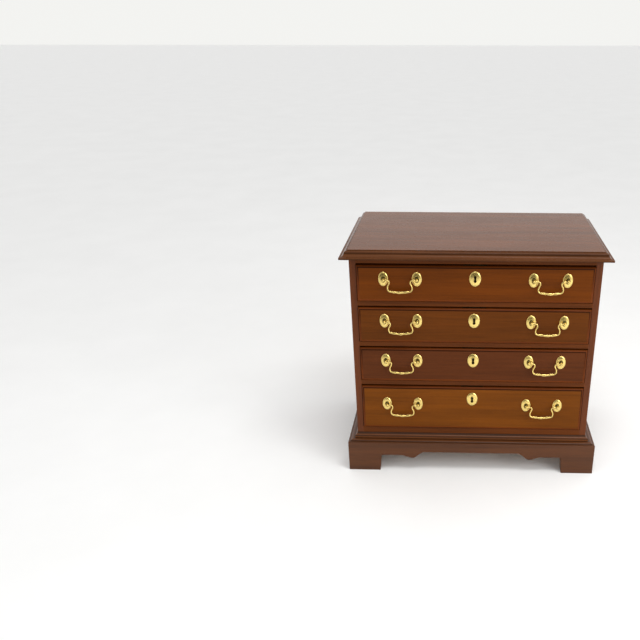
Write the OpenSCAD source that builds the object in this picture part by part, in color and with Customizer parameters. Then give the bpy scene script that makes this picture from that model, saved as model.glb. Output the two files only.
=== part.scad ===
// Small mahogany chest of four drawers on a bracket base, with brass swan-neck pulls and locks.
// Millimetres. +Z is up, the drawers open towards -Y, +X is to the right of a person facing them.
// The origin is at the floor, under the middle of the chest.

/* [Case] */
// Width over the two case sides
case_w = 570; // [520:5:650]
// Depth from the front edge of the case to its back
case_d = 350; // [320:5:400]
// Thickness of the case sides, seen as stiles from the front
side_t = 15; // [14:1:18]
// Thickness of the rails between the drawers
divider_t = 11; // [10:0.5:14]
// Height of the rail under the top
top_rail_t = 12.5; // [11:0.5:16]
// Height of the bottom rail's upper edge above the floor
bottom_rail_z = 114.5; // [112:0.5:120]

/* [Top] */
// Thickness of the top
top_t = 19; // [19:1:22]
// Overhang of the top at the front and at both sides
top_out = 20; // [20:1:24]

/* [Base] */
// How far the bracket base stands out from the case
base_out = 23; // [21:1:26]
// Height of the bracket base without its moulding
plinth_h = 81; // [80:0.5:86]
// Width of each bracket foot on the front, at its widest
foot_w = 82; // [70:1:95]
// Height of the opening next to each foot
bracket_h = 45; // [42:1:46]

/* [Drawers] */
// Height of the three upper drawer openings
small_opening_h = 90.5; // [88:0.5:100]
// Height of the lowest drawer opening
large_opening_h = 119.5; // [110:0.5:130]
// How far the drawer faces stand in front of the case
face_out = 5; // [4:0.5:6]
// Width of the moulded edge around each drawer face
ovolo_w = 6; // [5:0.5:8]
// Gap over each drawer front
gap_top = 4; // [2:0.5:5]
// Distance from the top of an upper drawer's opening down to the posts of its pulls
small_pull_drop = 35; // [34:1:38]
// The same on the lowest drawer
large_pull_drop = 50.5; // [45:0.5:55]

/* [Pulls] */
// Distance of each pull's middle from the middle of the chest
pull_x = 170; // [150:1:180]
// Distance between the two posts of a pull
post_spacing = 76.2; // [76:0.1:77]
// Distance from the case front out to the axis that a bail swings on
bail_axis_out = 15; // [15:0.5:17]

/* [Hidden] */
$fn = 48;
overlap = 1;

// Case
half_w = case_w / 2;
inner_half = half_w - side_t;
front_y = -(case_d - base_out) / 2;
side_bottom_z = 62;
bottom_t = 15;
back_t = 6;
back_rebate = 9;
rail_depth = 60;
bottom_rail_depth = 20;
rear_rail_depth = 60;
runner_w = 22;
stop_size = [40, 12, 5];
stop_x = 150;
opening_h = [small_opening_h, small_opening_h, small_opening_h, large_opening_h];
pull_drop = [small_pull_drop, small_pull_drop, small_pull_drop, large_pull_drop];
drawer_count = len(opening_h);
function opening_z(n) =
    n == drawer_count ? bottom_rail_z : opening_z(n + 1) + opening_h[n] + divider_t;
function opening_top(n) = opening_z(n) + opening_h[n - 1];
top_rail_z = opening_top(1);
top_z = top_rail_z + top_rail_t;

// Drawers
gap_side = 1;
gap_bottom = 1;
front_half = inner_half - gap_side;
front_back_y = 14;
side_board_t = 10;
side_inner_half = front_half - side_board_t;
drawer_end_y = case_d - back_t - 10;
back_board_t = 10;
back_inset = 6;
side_gap_top = 4.5;
side_gap_bottom = 0.5;
bottom_board_t = 5;
bottom_board_drop = 8;
groove = 4;
tail_len = 8;
tail_pitch = 27;
tail_wide = 17;
tail_narrow = 12;
function front_z(n) = opening_z(n) + gap_bottom;
function front_top(n) = opening_top(n) - gap_top;
function side_z(n) = opening_z(n) + side_gap_bottom;
function side_top(n) = opening_top(n) - side_gap_top;
function bottom_board_z(n) = side_z(n) + bottom_board_drop;
function pull_z(n) = opening_top(n) - pull_drop[n - 1];

// Locks
key_drop = [33, 33, 33, 35.2];
lock_half = 27;
lock_h = 46;
lock_y = 5;
bolt_size = [24, 4, 15];
bolt_y = 7.5;
bolt_fit = 0.2;
bolt_leg = [5, 4, 12];
bolt_leg_x = 9;
cavity_half = 19;
cavity_h = 20;
cavity_drop = 18;
mortise_depth = 6;
keyhole_r = 2.7;
keyhole_slot_w = 2.6;
drill_pin_r = 1.2;
lock_screw_r = 1.5;
lock_screw_x = 22;
lock_screw_drops = [10, 40];
lock_screw_grip = 4;
plate_pin_r = 0.9;
plate_pin_z = 13.8;
plate_pin_h = 2.8;
plate_size = [26.6, 35.4];
plate_profile = [[13.3, 0], [13.3, 0.6], [12.3, 1.5], [11.4, 2.2], [9.3, 2.75], [6.7, 3.2], [4.5, 3.4]];
key_lobes = [5, -5];
function key_z(n) = opening_top(n) - key_drop[n - 1];

// Pulls
post_half = post_spacing / 2;
rosette_size = [23, 34];
rosette_profile = [[11.5, 0], [11.5, 0.6], [10.6, 1.5], [9.8, 2.2], [8.2, 2.6], [6.2, 2.95], [4.4, 3.2]];
rosette_middle = 3.2;
post_r = 2;
post_hole_r = 2.1;
post_head_r = 3.6;
post_end = 3.6;
nut_size = 8;
nut_t = 3;
pin_r = 1.5;
eye_r = 1.55;
eye_depth = 5;
pin_tip_x = post_half - 0.6;
pin_root_x = post_half - 5.6;
bail_neck_r = 1.6;
bail_bar_r = 3.3;
bail_sides = 10;
bail_steps = 5;
oval_sides = 28;
// Half of a bail seen from the front, from the pin to the middle of the bar, as joined curves:
// each row holds a curve's start, its two handles and its end, from the middle of the pull.
bail_curves = [
    [[33, 0], [28.5, 0.8], [23.8, 0.4], [23.8, -5.2]],
    [[23.8, -5.2], [23.8, -9.5], [27.9, -12.5], [27.9, -18]],
    [[27.9, -18], [27.9, -24], [25.2, -26.6], [19, -27]],
    [[19, -27], [13, -27.4], [6, -28.8], [0, -28.8]]
];

// Base
moulding_h = 18;
mitre_gap = 0.1;
apron_rise = 55;
apron_drop = 37.5;
pendant = [[0, 0], [49, 0], [80, -1], [108, 1]];
side_pendant = [[0, 0], [12, 0], [40, -1], [66, 1]];
side_foot_w = 81;
arris_r = 2;
foot_taper = 3.5;
bracket_r = 5;
block_size = [30, 30, 60];
bracket_t = 18;
bracket_top_w = 82;
bracket_foot_w = 62;

// Shared shapes. Everything below is drawn with y = 0 at the front of the case.

module from_case_front() {
    translate([0, front_y, 0]) children();
}

module block(low, high) {
    translate(low) cube(high - low);
}

module both_sides() {
    children();
    mirror([1, 0, 0]) children();
}

// An outline drawn as (y, z) points, made solid from x = low to x = high
module along_x(low, high) {
    translate([low, 0, 0]) rotate([90, 0, 90]) linear_extrude(high - low) children();
}

// An outline drawn as (x, z) points, made solid from y = low to y = high
module along_y(low, high) {
    translate([0, high, 0]) rotate([90, 0, 0]) linear_extrude(high - low) children();
}

// Points of an arc of an ellipse about centre c
function arc(c, rx, rz, from, to, steps = 8) =
    [for (i = [0:steps]) let (a = from + (to - from) * i / steps) c + [rx * cos(a), rz * sin(a)]];

// Oval plate standing up from y = 0 towards -Y, size wide and high. The profile lists its rings
// from the edge inwards, as (half width, height), and the last ring bounds its flat middle.
module oval_plate(size, profile) {
    last = len(profile) - 1;
    stretch = size[1] / size[0];
    rings = [for (ring = profile) for (k = [0:oval_sides - 1]) let (a = 360 * k / oval_sides)
        [ring[0] * cos(a), -ring[1], ring[0] * stretch * sin(a)]];
    walls = [for (i = [0:last - 1]) for (k = [0:oval_sides - 1]) let (
        here = i * oval_sides,
        next = (k + 1) % oval_sides
    ) [here + k, here + oval_sides + k, here + oval_sides + next, here + next]];
    caps = [[for (k = [0:oval_sides - 1]) k],
            [for (k = [oval_sides - 1:-1:0]) last * oval_sides + k]];
    polyhedron(rings, concat(walls, caps));
}

function flip(points) = [for (p = points) [-p[0], p[1]]];

function reversed(points) = [for (i = [len(points) - 1:-1:0]) points[i]];

// Top

// Moulded edge as (distance out from the case, height above the underside), top to bottom
function top_edge() = let (step = 2, out = top_out, mid = 9, fillet = 4.4, waist = 12.2) concat(
    [[step, top_t]],
    arc([step, waist], mid - step, top_t - 1.7 - waist, 90, 0),
    arc([out, waist], out - mid, waist - fillet, 180, 270),
    [[out, 0]]
);

module top_panel() {
    edge = top_edge();
    right = [for (p = edge) [half_w + p[0], p[1]]];
    color([0.36, 0.18, 0.12])
        from_case_front()
            translate([0, 0, top_z])
                intersection() {
                    along_x(-half_w - top_out, half_w + top_out)
                        polygon(concat([[case_d, 0], [case_d, top_t]], flip(edge)));
                    along_y(-top_out, case_d)
                        polygon(concat(reversed(flip(right)), right));
                }
}

// Case

module side_panel() {
    color([0.4, 0.2, 0.11])
        from_case_front()
            difference() {
                block([inner_half, 0, side_bottom_z], [half_w, case_d, top_z]);
                block([inner_half - overlap, case_d - back_t, side_bottom_z - overlap],
                      [inner_half + back_rebate, case_d + overlap, top_z + overlap]);
            }
}

module left_side_panel() {
    mirror([1, 0, 0]) side_panel();
}

module right_side_panel() {
    side_panel();
}

module back_panel() {
    reach = inner_half + back_rebate;
    color([0.72, 0.56, 0.4])
        from_case_front()
            block([-reach, case_d - back_t, side_bottom_z], [reach, case_d, top_z]);
}

module bottom_panel() {
    color([0.72, 0.56, 0.4])
        from_case_front()
            block([-inner_half, bottom_rail_depth, bottom_rail_z - bottom_t],
                  [inner_half, case_d - back_t, bottom_rail_z]);
}

// Mortise for a lock bolt in the underside of the rail over drawer n
module bolt_mortise(n) {
    block([-bolt_size[0] / 2 - 1, bolt_y - 0.8, opening_top(n) - overlap],
          [bolt_size[0] / 2 + 1, bolt_y + bolt_size[1] + 0.8, opening_top(n) + mortise_depth]);
}

module top_rails() {
    rear_y = case_d - back_t;
    color([0.36, 0.18, 0.1])
        from_case_front() {
            difference() {
                block([-inner_half, 0, top_rail_z], [inner_half, rail_depth, top_z]);
                bolt_mortise(1);
            }
            block([-inner_half, rear_y - rear_rail_depth, top_rail_z], [inner_half, rear_y, top_z]);
        }
}

module drawer_dividers() {
    color([0.38, 0.19, 0.1])
        from_case_front()
            for (n = [2:drawer_count])
                difference() {
                    block([-inner_half, 0, opening_top(n)],
                          [inner_half, rail_depth, opening_top(n) + divider_t]);
                    bolt_mortise(n);
                }
}

module bottom_rail() {
    color([0.36, 0.18, 0.1])
        from_case_front()
            block([-inner_half, 0, side_bottom_z], [inner_half, bottom_rail_depth, bottom_rail_z]);
}

// Runners behind the dividers, and kickers that keep the top drawer level
module drawer_runners() {
    rear_y = case_d - back_t;
    color([0.75, 0.6, 0.42])
        from_case_front()
            both_sides() {
                for (n = [2:drawer_count])
                    block([inner_half - runner_w, rail_depth, opening_top(n)],
                          [inner_half, rear_y, opening_top(n) + divider_t]);
                block([inner_half - runner_w, rail_depth, top_rail_z],
                      [inner_half, rear_y - rear_rail_depth, top_z]);
            }
}

// Two blocks behind each drawer front stop it level with the case
module drawer_stops() {
    stop_gap = 0.5;
    color([0.75, 0.6, 0.42])
        from_case_front()
            for (n = [1:drawer_count])
                both_sides()
                    translate([stop_x, front_back_y + stop_gap, opening_z(n)])
                        cube(stop_size);
}

// Base

// Cove, fillet and ovolo of the base moulding, as (distance out from the case, height)
function base_edge() = let (
    lip = 1.2, cove_out = 7, cove_top = 17, cove_z = 11.2, ovolo_in = 9, ovolo_out = 17.5, ovolo_z = 4.3,
    foot_z = 0.8
) [for (p = concat(
    [[0, 0], [0, moulding_h], [lip, moulding_h]],
    arc([cove_out, cove_top], cove_out - lip, cove_top - cove_z, 180, 270),
    [[cove_out, ovolo_z]],
    arc([ovolo_in, foot_z], ovolo_out - ovolo_in, ovolo_z - foot_z, 90, 0),
    [[ovolo_out, 0]]
)) [p[0], plinth_h + p[1]]];

// Section of the bracket base, with its upper outer edge rounded
function plinth_section() = concat(
    [[0, 0], [0, plinth_h]],
    arc([base_out - arris_r, plinth_h - arris_r], arris_r, arris_r, 90, 0, 6),
    [[base_out, 0]]
);

// Plan of what belongs to the front, and to the right side, of a frame mitred at its corners
module front_plan(out) {
    end = half_w - mitre_gap;
    linear_extrude(top_z)
        polygon([[-end, 0], [-end - out, -out], [end + out, -out], [end, 0]]);
}

module right_plan(out) {
    linear_extrude(top_z)
        polygon([[half_w, 0], [half_w + out, -out], [half_w + out, case_d], [half_w, case_d]]);
}

module front_strip(section, out) {
    intersection() {
        along_x(-half_w - out, half_w + out) polygon(flip(section));
        front_plan(out);
    }
}

module right_strip(section, out) {
    intersection() {
        along_y(-out, case_d) polygon([for (p = section) [half_w + p[0], p[1]]]);
        right_plan(out);
    }
}

module base_mouldings() {
    edge = base_edge();
    color([0.37, 0.2, 0.13])
        from_case_front() {
            front_strip(edge, base_out);
            both_sides() right_strip(edge, base_out);
        }
}

// Smooth S-shaped step from 0 to 1
function ease(t) = t * t * (3 - 2 * t);

// Lower edge of an apron from one foot to the middle of a gap that is 2 * half wide. The shape
// lists distances from the foot: where the level part starts and ends, the pendant, the rise.
// The foot is narrower at the floor, and a small round joins it to the level part.
function apron_half(half, shape) = let (
    steps = 10,
    foot = concat([[-foot_taper, -overlap]],
                  arc([bracket_r, bracket_h - bracket_r], bracket_r, bracket_r, 180, 90, 4)),
    drop = [for (i = [0:steps]) let (t = i / steps)
        [shape[1][0] + (shape[2][0] - shape[1][0]) * t,
         bracket_h - (bracket_h - apron_drop) * ease(t)]],
    rise = [for (i = [1:steps]) let (t = i / steps)
        [shape[2][0] + (shape[3][0] - shape[2][0]) * t,
         apron_drop + (apron_rise - apron_drop) * ease(t)]]
) [for (p = concat(foot, drop, rise)) [p[0] - half, p[1]]];

module apron_gap(half, shape) {
    points = apron_half(half, shape);
    polygon(concat(points, reversed(flip(points))));
}

module front_plinth() {
    half_gap = half_w + base_out - foot_w;
    color([0.36, 0.2, 0.14])
        from_case_front()
            difference() {
                front_strip(plinth_section(), base_out);
                along_y(-base_out - overlap, overlap) apron_gap(half_gap, pendant);
            }
}

module right_plinth() {
    half_gap = (case_d + base_out) / 2 - side_foot_w;
    middle_y = (case_d - base_out) / 2;
    color([0.36, 0.2, 0.14])
        from_case_front()
            difference() {
                right_strip(plinth_section(), base_out);
                translate([0, middle_y, 0])
                    along_x(half_w - overlap, half_w + base_out + overlap)
                        apron_gap(half_gap, side_pendant);
            }
}

module left_plinth() {
    mirror([1, 0, 0]) right_plinth();
}

// Plain brackets behind the rear feet
module rear_brackets() {
    color([0.72, 0.56, 0.4])
        from_case_front()
            both_sides()
                along_y(case_d - bracket_t, case_d)
                    polygon([[half_w, 0], [half_w, side_bottom_z], [half_w - bracket_top_w, side_bottom_z],
                             [half_w - bracket_foot_w, 0]]);
}

// Glue blocks in the four corners of the base
module corner_blocks() {
    rear_y = case_d - bracket_t - block_size[1];
    color([0.75, 0.6, 0.42])
        from_case_front()
            both_sides()
                for (y = [0, rear_y])
                    translate([half_w - block_size[0], y, side_bottom_z - block_size[2]])
                        cube(block_size);
}

// Drawers

// Dovetails at the front end of the right side board of drawer n
module dovetails(n) {
    height = side_top(n) - side_z(n);
    count = floor(height / tail_pitch);
    first = side_z(n) + (height - (count - 1) * tail_pitch) / 2;
    start_y = front_back_y - tail_len;
    along_x(side_inner_half, front_half)
        for (i = [0:count - 1])
            translate([0, first + i * tail_pitch])
                polygon([[start_y, -tail_wide / 2], [front_back_y, -tail_narrow / 2],
                         [front_back_y, tail_narrow / 2], [start_y, tail_wide / 2]]);
}

// Keyhole outline: two lobes joined by a slot
module keyhole(n, low_y, high_y) {
    along_y(low_y, high_y)
        translate([0, key_z(n)]) {
            for (z = key_lobes) translate([0, z]) circle(r = keyhole_r);
            square([keyhole_slot_w, 2 * key_lobes[0]], center = true);
        }
}

// The four screws of lock n, or their holes
module lock_screws(n, radius, length) {
    both_sides()
        for (drop = lock_screw_drops)
            translate([lock_screw_x, front_back_y, front_top(n) - drop])
                rotate([90, 0, 0])
                    cylinder(h = length, r = radius);
}

// Drawer front with its raised, ovolo-edged face, housings for sides, bottom, lock and pulls
module drawer_front(n) {
    low = front_z(n);
    high = front_top(n);
    ovolo = arc([-ovolo_w, 0], ovolo_w, face_out, 0, 90);
    across = [for (p = ovolo) [front_half + p[0], p[1]]];
    color([0.42, 0.2, 0.08])
        from_case_front()
            difference() {
                union() {
                    block([-front_half, 0, low], [front_half, front_back_y, high]);
                    intersection() {
                        along_x(-front_half, front_half)
                            polygon(concat([for (p = ovolo) [-p[1], high + p[0]]],
                                           reversed([for (p = ovolo) [-p[1], low - p[0]]])));
                        translate([0, 0, low])
                            linear_extrude(high - low)
                                polygon([for (p = concat(across, reversed(flip(across)))) [p[0], -p[1]]]);
                    }
                }
                both_sides() dovetails(n);
                block([-side_inner_half, front_back_y - 5, bottom_board_z(n)],
                      [side_inner_half, front_back_y + overlap, bottom_board_z(n) + bottom_board_t]);
                block([-lock_half, lock_y, high - lock_h], [lock_half, front_back_y + overlap, high + overlap]);
                keyhole(n, -face_out - overlap, lock_y + overlap);
                lock_screws(n, lock_screw_r + 0.05, front_back_y - lock_y + lock_screw_grip + 0.5);
                for (x = [-pull_x, pull_x], side = [-1, 1])
                    translate([x + side * post_half, front_back_y + overlap, pull_z(n)])
                        rotate([90, 0, 0])
                            cylinder(h = front_back_y + face_out + 2 * overlap, r = post_hole_r);
            }
}

module drawer_sides(n) {
    groove_z = bottom_board_z(n);
    back_y = drawer_end_y - back_board_t - back_inset;
    color([0.78, 0.64, 0.45])
        from_case_front()
            both_sides()
                difference() {
                    union() {
                        block([side_inner_half, front_back_y, side_z(n)],
                              [front_half, drawer_end_y, side_top(n)]);
                        dovetails(n);
                    }
                    block([side_inner_half - overlap, front_back_y, groove_z],
                          [side_inner_half + groove, drawer_end_y + overlap, groove_z + bottom_board_t]);
                    block([side_inner_half - overlap, back_y, groove_z],
                          [side_inner_half + groove, back_y + back_board_t, side_top(n) + overlap]);
                }
}

module drawer_back(n) {
    back_y = drawer_end_y - back_board_t - back_inset;
    reach = side_inner_half + groove;
    color([0.78, 0.64, 0.45])
        from_case_front()
            block([-reach, back_y, bottom_board_z(n) + bottom_board_t],
                  [reach, back_y + back_board_t, side_top(n) - 3]);
}

module drawer_bottom(n) {
    reach = side_inner_half + groove;
    low = bottom_board_z(n);
    color([0.8, 0.68, 0.5])
        from_case_front() {
            block([-reach, front_back_y, low], [reach, drawer_end_y, low + bottom_board_t]);
            block([-side_inner_half, front_back_y - 5, low],
                  [side_inner_half, front_back_y, low + bottom_board_t]);
        }
}

// Escutcheon: a domed oval plate with a keyhole, and its two pins
module drawer_escutcheon(n) {
    plate_t = plate_profile[len(plate_profile) - 1][1];
    pin_z = [-plate_pin_z, plate_pin_z];
    color([0.85, 0.68, 0.35])
        from_case_front() {
            difference() {
                translate([0, -face_out, key_z(n)])
                    oval_plate(plate_size, plate_profile);
                keyhole(n, -face_out - plate_t - overlap, -face_out + overlap);
                for (z = pin_z)
                    translate([0, -face_out + overlap, key_z(n) + z])
                        rotate([90, 0, 0])
                            cylinder(h = plate_t + 2 * overlap, r = plate_pin_r);
            }
            for (z = pin_z)
                translate([0, -face_out, key_z(n) + z])
                    rotate([90, 0, 0])
                        cylinder(h = plate_pin_h, r = plate_pin_r - 0.05);
        }
}

// Lock let into the back of the drawer front, with the screws that hold it
module drawer_lock(n) {
    high = front_top(n);
    low = high - lock_h;
    screw_h = front_back_y - lock_y;
    color([0.7, 0.58, 0.33])
        from_case_front() {
            difference() {
                block([-lock_half, lock_y, low], [lock_half, front_back_y, high]);
                block([-bolt_size[0] / 2 - bolt_fit, bolt_y - bolt_fit, high - cavity_drop],
                      [bolt_size[0] / 2 + bolt_fit, bolt_y + bolt_size[1] + bolt_fit, high + overlap]);
                block([-cavity_half, bolt_y - bolt_fit, high - cavity_drop - cavity_h],
                      [cavity_half, bolt_y + bolt_size[1] + bolt_fit, high - cavity_drop + 0.5]);
                keyhole(n, lock_y - overlap, bolt_y);
                lock_screws(n, lock_screw_r + 0.05, screw_h + overlap);
            }
            translate([0, bolt_y + bolt_size[1] + bolt_fit, key_z(n) + key_lobes[0]])
                rotate([90, 0, 0])
                    cylinder(h = bolt_size[1], r = drill_pin_r);
            lock_screws(n, lock_screw_r, screw_h + lock_screw_grip);
        }
}

// Bolt that slides up out of the lock, with two legs that the key pushes on
module drawer_lock_bolt(n) {
    low = front_top(n) - bolt_size[2] - 0.5;
    color([0.8, 0.66, 0.36])
        from_case_front() {
            translate([-bolt_size[0] / 2, bolt_y, low]) cube(bolt_size);
            for (x = [-bolt_leg_x, bolt_leg_x])
                translate([x - bolt_leg[0] / 2, bolt_y, low - bolt_leg[2]])
                    cube(bolt_leg + [0, 0, 0.01]);
        }
}

// Pulls

// Domed oval rosette, drawn standing up from the drawer face towards -Y
module rosette() {
    difference() {
        oval_plate(rosette_size, rosette_profile);
        translate([0, overlap, 0])
            rotate([90, 0, 0])
                cylinder(h = 5, r = post_hole_r);
    }
}

module drawer_rosettes(n) {
    color([0.85, 0.68, 0.35])
        from_case_front()
            for (x = [-pull_x, pull_x], side = [-1, 1])
                translate([x + side * post_half, -face_out, pull_z(n)])
                    rosette();
}

// Post through the drawer front with an eye for the bail's pin, and its nut behind
module post() {
    seat_y = -face_out - rosette_middle;
    head_y = -bail_axis_out - post_end;
    difference() {
        union() {
            translate([0, front_back_y + nut_t + 1, 0])
                rotate([90, 0, 0])
                    cylinder(h = front_back_y + nut_t + 1 - seat_y, r = post_r);
            translate([0, seat_y, 0])
                rotate([90, 0, 0])
                    cylinder(h = seat_y - head_y, r = post_head_r);
        }
        translate([0.6, -bail_axis_out, 0])
            rotate([0, -90, 0])
                cylinder(h = post_head_r + eye_depth, r = eye_r);
    }
}

module post_nut() {
    difference() {
        translate([0, front_back_y + nut_t, 0])
            rotate([90, 0, 0])
                cylinder(h = nut_t, d = nut_size, $fn = 6);
        translate([0, front_back_y + nut_t + overlap, 0])
            rotate([90, 0, 0])
                cylinder(h = nut_t + 2 * overlap, r = post_hole_r);
    }
}

module drawer_posts(n) {
    color([0.82, 0.66, 0.34])
        from_case_front()
            for (x = [-pull_x, pull_x])
                translate([x, 0, pull_z(n)])
                    both_sides()
                        translate([post_half, 0, 0]) {
                            post();
                            post_nut();
                        }
}

function bezier(c, t) =
    c[0] * pow(1 - t, 3) + 3 * c[1] * t * pow(1 - t, 2) + 3 * c[2] * t * t * (1 - t) + c[3] * pow(t, 3);

// Centre line of a bail from one pin to the other
function bail_half_line() = concat(
    [bail_curves[0][0]],
    [for (c = bail_curves) for (i = [1:bail_steps]) bezier(c, i / bail_steps)]
);

function bail_line() = let (half = bail_half_line(), last = len(half) - 1)
    concat(half, [for (i = [last - 1:-1:0]) [-half[i][0], half[i][1]]]);

// The bar is thicker than the necks, and thickest at its middle
function bail_radius(p) = let (bar = max(0, min(1, (-p[1] - 19) / 7)))
    bail_neck_r + (bail_bar_r - bail_neck_r) * ease(bar) * (1 - 0.5 * ease(min(1, abs(p[0]) / 24)));

module tube_along(line) {
    last = len(line) - 1;
    rings = [for (i = [0:last]) let (
        before = line[max(0, i - 1)],
        after = line[min(last, i + 1)],
        run = (after - before) / norm(after - before),
        r = bail_radius(line[i])
    ) for (k = [0:bail_sides - 1]) let (a = 360 * k / bail_sides)
        [line[i][0] - run[1] * r * cos(a), r * sin(a), line[i][1] + run[0] * r * cos(a)]];
    walls = [for (i = [0:last - 1]) for (k = [0:bail_sides - 1]) let (
        here = i * bail_sides,
        next = (k + 1) % bail_sides
    ) [here + k, here + next, here + bail_sides + next, here + bail_sides + k]];
    caps = [[for (k = [bail_sides - 1:-1:0]) k], [for (k = [0:bail_sides - 1]) last * bail_sides + k]];
    polyhedron(rings, concat(walls, caps));
}

module bail(n, x) {
    color([0.88, 0.72, 0.4])
        from_case_front()
            translate([x, -bail_axis_out, pull_z(n)]) {
                tube_along(bail_line());
                both_sides()
                    translate([pin_root_x - 1, 0, 0])
                        rotate([0, 90, 0])
                            cylinder(h = pin_tip_x - pin_root_x + 1, r = pin_r);
            }
}

top_panel();
left_side_panel();
right_side_panel();
back_panel();
bottom_panel();
top_rails();
drawer_dividers();
bottom_rail();
drawer_runners();
drawer_stops();
base_mouldings();
front_plinth();
left_plinth();
right_plinth();
rear_brackets();
corner_blocks();
for (n = [1:drawer_count]) {
    drawer_front(n);
    drawer_sides(n);
    drawer_back(n);
    drawer_bottom(n);
    drawer_rosettes(n);
    drawer_posts(n);
    bail(n, -pull_x);
    bail(n, pull_x);
    drawer_escutcheon(n);
    drawer_lock(n);
    drawer_lock_bolt(n);
}
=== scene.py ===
"""Looks of a small mahogany chest of four drawers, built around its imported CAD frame.

Shapes are drawn in millimetres, with x from the middle of the chest, y from the front of the case
towards the back, and z from the floor. Pieces are placed by the boxes of the CAD nodes.
"""

import math

import bmesh
import bpy
from mathutils import Matrix, Vector


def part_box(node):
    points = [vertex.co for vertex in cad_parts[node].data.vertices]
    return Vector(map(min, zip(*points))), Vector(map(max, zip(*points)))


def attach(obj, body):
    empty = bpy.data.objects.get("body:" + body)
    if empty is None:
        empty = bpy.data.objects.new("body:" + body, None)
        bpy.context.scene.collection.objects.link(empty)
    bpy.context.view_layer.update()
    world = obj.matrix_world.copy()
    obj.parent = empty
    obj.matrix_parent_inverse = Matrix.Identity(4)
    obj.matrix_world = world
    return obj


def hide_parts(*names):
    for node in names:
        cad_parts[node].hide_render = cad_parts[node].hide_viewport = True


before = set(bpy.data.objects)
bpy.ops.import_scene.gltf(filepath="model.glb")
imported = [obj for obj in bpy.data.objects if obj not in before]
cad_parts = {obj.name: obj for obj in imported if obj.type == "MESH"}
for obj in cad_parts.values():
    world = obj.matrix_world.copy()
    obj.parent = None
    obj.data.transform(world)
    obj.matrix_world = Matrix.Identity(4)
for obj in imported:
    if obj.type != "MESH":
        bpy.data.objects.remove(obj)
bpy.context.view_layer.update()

# ---------------------------------------------------------------- places and sizes from the frame

MM = 0.001
CASE_FRONT_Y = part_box("right_side_panel")[0].y
CASE_ORIGIN = Vector((0, CASE_FRONT_Y, 0))
DRAWERS = sum(1 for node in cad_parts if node.endswith("_front"))


def node_box(node):
    """Lowest and highest corners of a CAD node, in millimetres, with y from the case front."""
    return [(corner - CASE_ORIGIN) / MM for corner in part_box(node)]


def drawer_node(n, part):
    return f"drawer_{n}_{part}"


def drawer_body(n):
    return f"drawer_{n}"


CASE_HIGH = node_box("right_side_panel")[1]
HALF_W = CASE_HIGH.x
CASE_D = CASE_HIGH.y
TOP_LOW, TOP_HIGH = node_box("top_panel")
TOP_T = TOP_HIGH.z - TOP_LOW.z
TOP_OUT = TOP_HIGH.x - HALF_W
BASE_OUT = -node_box("front_plinth")[0].y
PLINTH_H = node_box("front_plinth")[1].z
MOULDING_H = node_box("base_mouldings")[1].z - PLINTH_H

# ---------------------------------------------------------------- shapes: lists of points and faces

# Edges sharper than these angles are rounded: on the pieces drawn here, and on the CAD's boards
SMOOTH_ANGLE = 32
BOARD_ANGLE = 50
# How far cuts go past the faces they come out of
PAST = 5.0
JUST_PAST = 1.0
# Points this close to a plane count as lying on it
NEAR = 0.05


def arc(centre, rx, rz, start, end, steps=10):
    """Points on an arc of an ellipse, from one angle to another, in degrees."""
    turns = [math.radians(start + (end - start) * i / steps) for i in range(steps + 1)]
    return [(centre[0] + rx * math.cos(a), centre[1] + rz * math.sin(a)) for a in turns]


def ease(t):
    """A smooth S-shaped step from 0 to 1."""
    t = min(1.0, max(0.0, t))
    return t * t * (3 - 2 * t)


def loft(rings, capped=True):
    """A closed shape through rings that have the same number of points."""
    count = len(rings[0])
    last = (len(rings) - 1) * count
    faces = []
    for start in range(0, last, count):
        for k in range(count):
            here, there = start + k, start + (k + 1) % count
            faces.append((here, there, there + count, here + count))
    if capped:
        faces.append(tuple(reversed(range(count))))
        faces.append(tuple(range(last, last + count)))
    return [point for ring in rings for point in ring], faces


def block(low, high):
    """A rectangular block between two corners."""
    corners = [(low[0], low[1]), (high[0], low[1]), (high[0], high[1]), (low[0], high[1])]
    return loft([[(x, y, z) for x, y in corners] for z in (low[2], high[2])])


def lathe(profile, centre, sides):
    """A turned shape that stands out towards -y, from (radius, height) rings, closed at both ends."""
    rings = []
    turns = [2 * math.pi * k / sides for k in range(sides)]
    for radius, height in profile:
        rings.append([(centre[0] + radius * math.cos(a), centre[1] - height,
                       centre[2] + radius * math.sin(a)) for a in turns])
    return loft(rings)


def merged(shapes):
    """Several shapes as one."""
    points, faces = [], []
    for some_points, some_faces in shapes:
        faces += [tuple(k + len(points) for k in face) for face in some_faces]
        points += some_points
    return points, faces


def mirrored(shape):
    """The shape on the other side of the middle of the chest."""
    points, faces = shape
    return [(-p[0], p[1], p[2]) for p in points], [tuple(reversed(face)) for face in faces]


def new_mesh(name, shape):
    """A Blender mesh in the frame's metres, with its normals facing outwards."""
    points, faces = shape
    mesh = bpy.data.meshes.new(name)
    mesh.from_pydata([(x * MM, y * MM + CASE_FRONT_Y, z * MM) for x, y, z in points], [], faces)
    edit = bmesh.new()
    edit.from_mesh(mesh)
    bmesh.ops.recalc_face_normals(edit, faces=edit.faces)
    edit.to_mesh(mesh)
    edit.free()
    return mesh


def new_object(name, data):
    """An object that is part of the scene."""
    obj = bpy.data.objects.new(name, data)
    bpy.context.scene.collection.objects.link(obj)
    return obj


def carve(obj, shape):
    """Cuts a closed shape out of an object."""
    cutter = new_object("cutter", new_mesh("cutter", shape))
    cut = obj.modifiers.new("cut", "BOOLEAN")
    cut.operation = "DIFFERENCE"
    cut.solver = "EXACT"
    cut.object = cutter
    evaluated = obj.evaluated_get(bpy.context.evaluated_depsgraph_get())
    result = bpy.data.meshes.new_from_object(evaluated)
    obj.modifiers.clear()
    obj.data = result
    bpy.data.objects.remove(cutter)


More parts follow.
